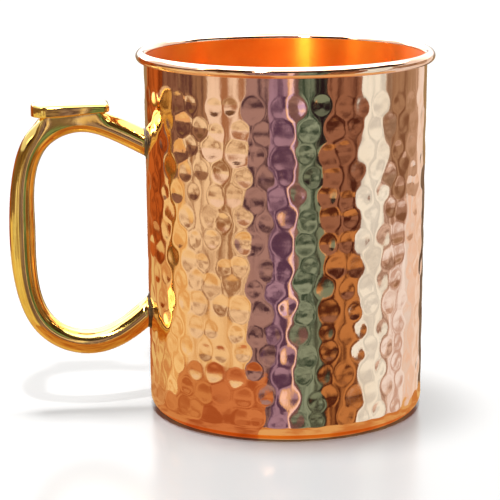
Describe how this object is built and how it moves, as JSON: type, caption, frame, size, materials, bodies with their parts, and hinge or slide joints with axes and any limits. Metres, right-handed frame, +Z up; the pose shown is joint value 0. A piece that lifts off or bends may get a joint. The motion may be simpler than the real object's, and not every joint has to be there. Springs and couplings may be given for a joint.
{
  "type": "hammered copper mug",
  "caption": "Straight-sided hammered copper mug with a rolled rim, a brazed brass bar handle and a thumb rest.",
  "frame": {"origin": "on the mug's axis, at the underside of the base", "axes": "+Z up along the mug's axis; the handle points along -X; +Y to the right of someone at the handle, looking at the cup"},
  "size_m": [0.1189, 0.083, 0.102],
  "materials": {
    "copper_polished": "polished",
    "copper_wire": "drawn",
    "brass_cast": "polished",
    "braze_metal": "polished"
  },
  "bodies": {
    "root": {"cup_body": "copper_polished", "rim_wire": "copper_wire", "handle_bar": "brass_cast", "thumb_rest": "brass_cast", "upper_braze": "braze_metal", "lower_braze": "braze_metal"}
  },
  "joints": []
}
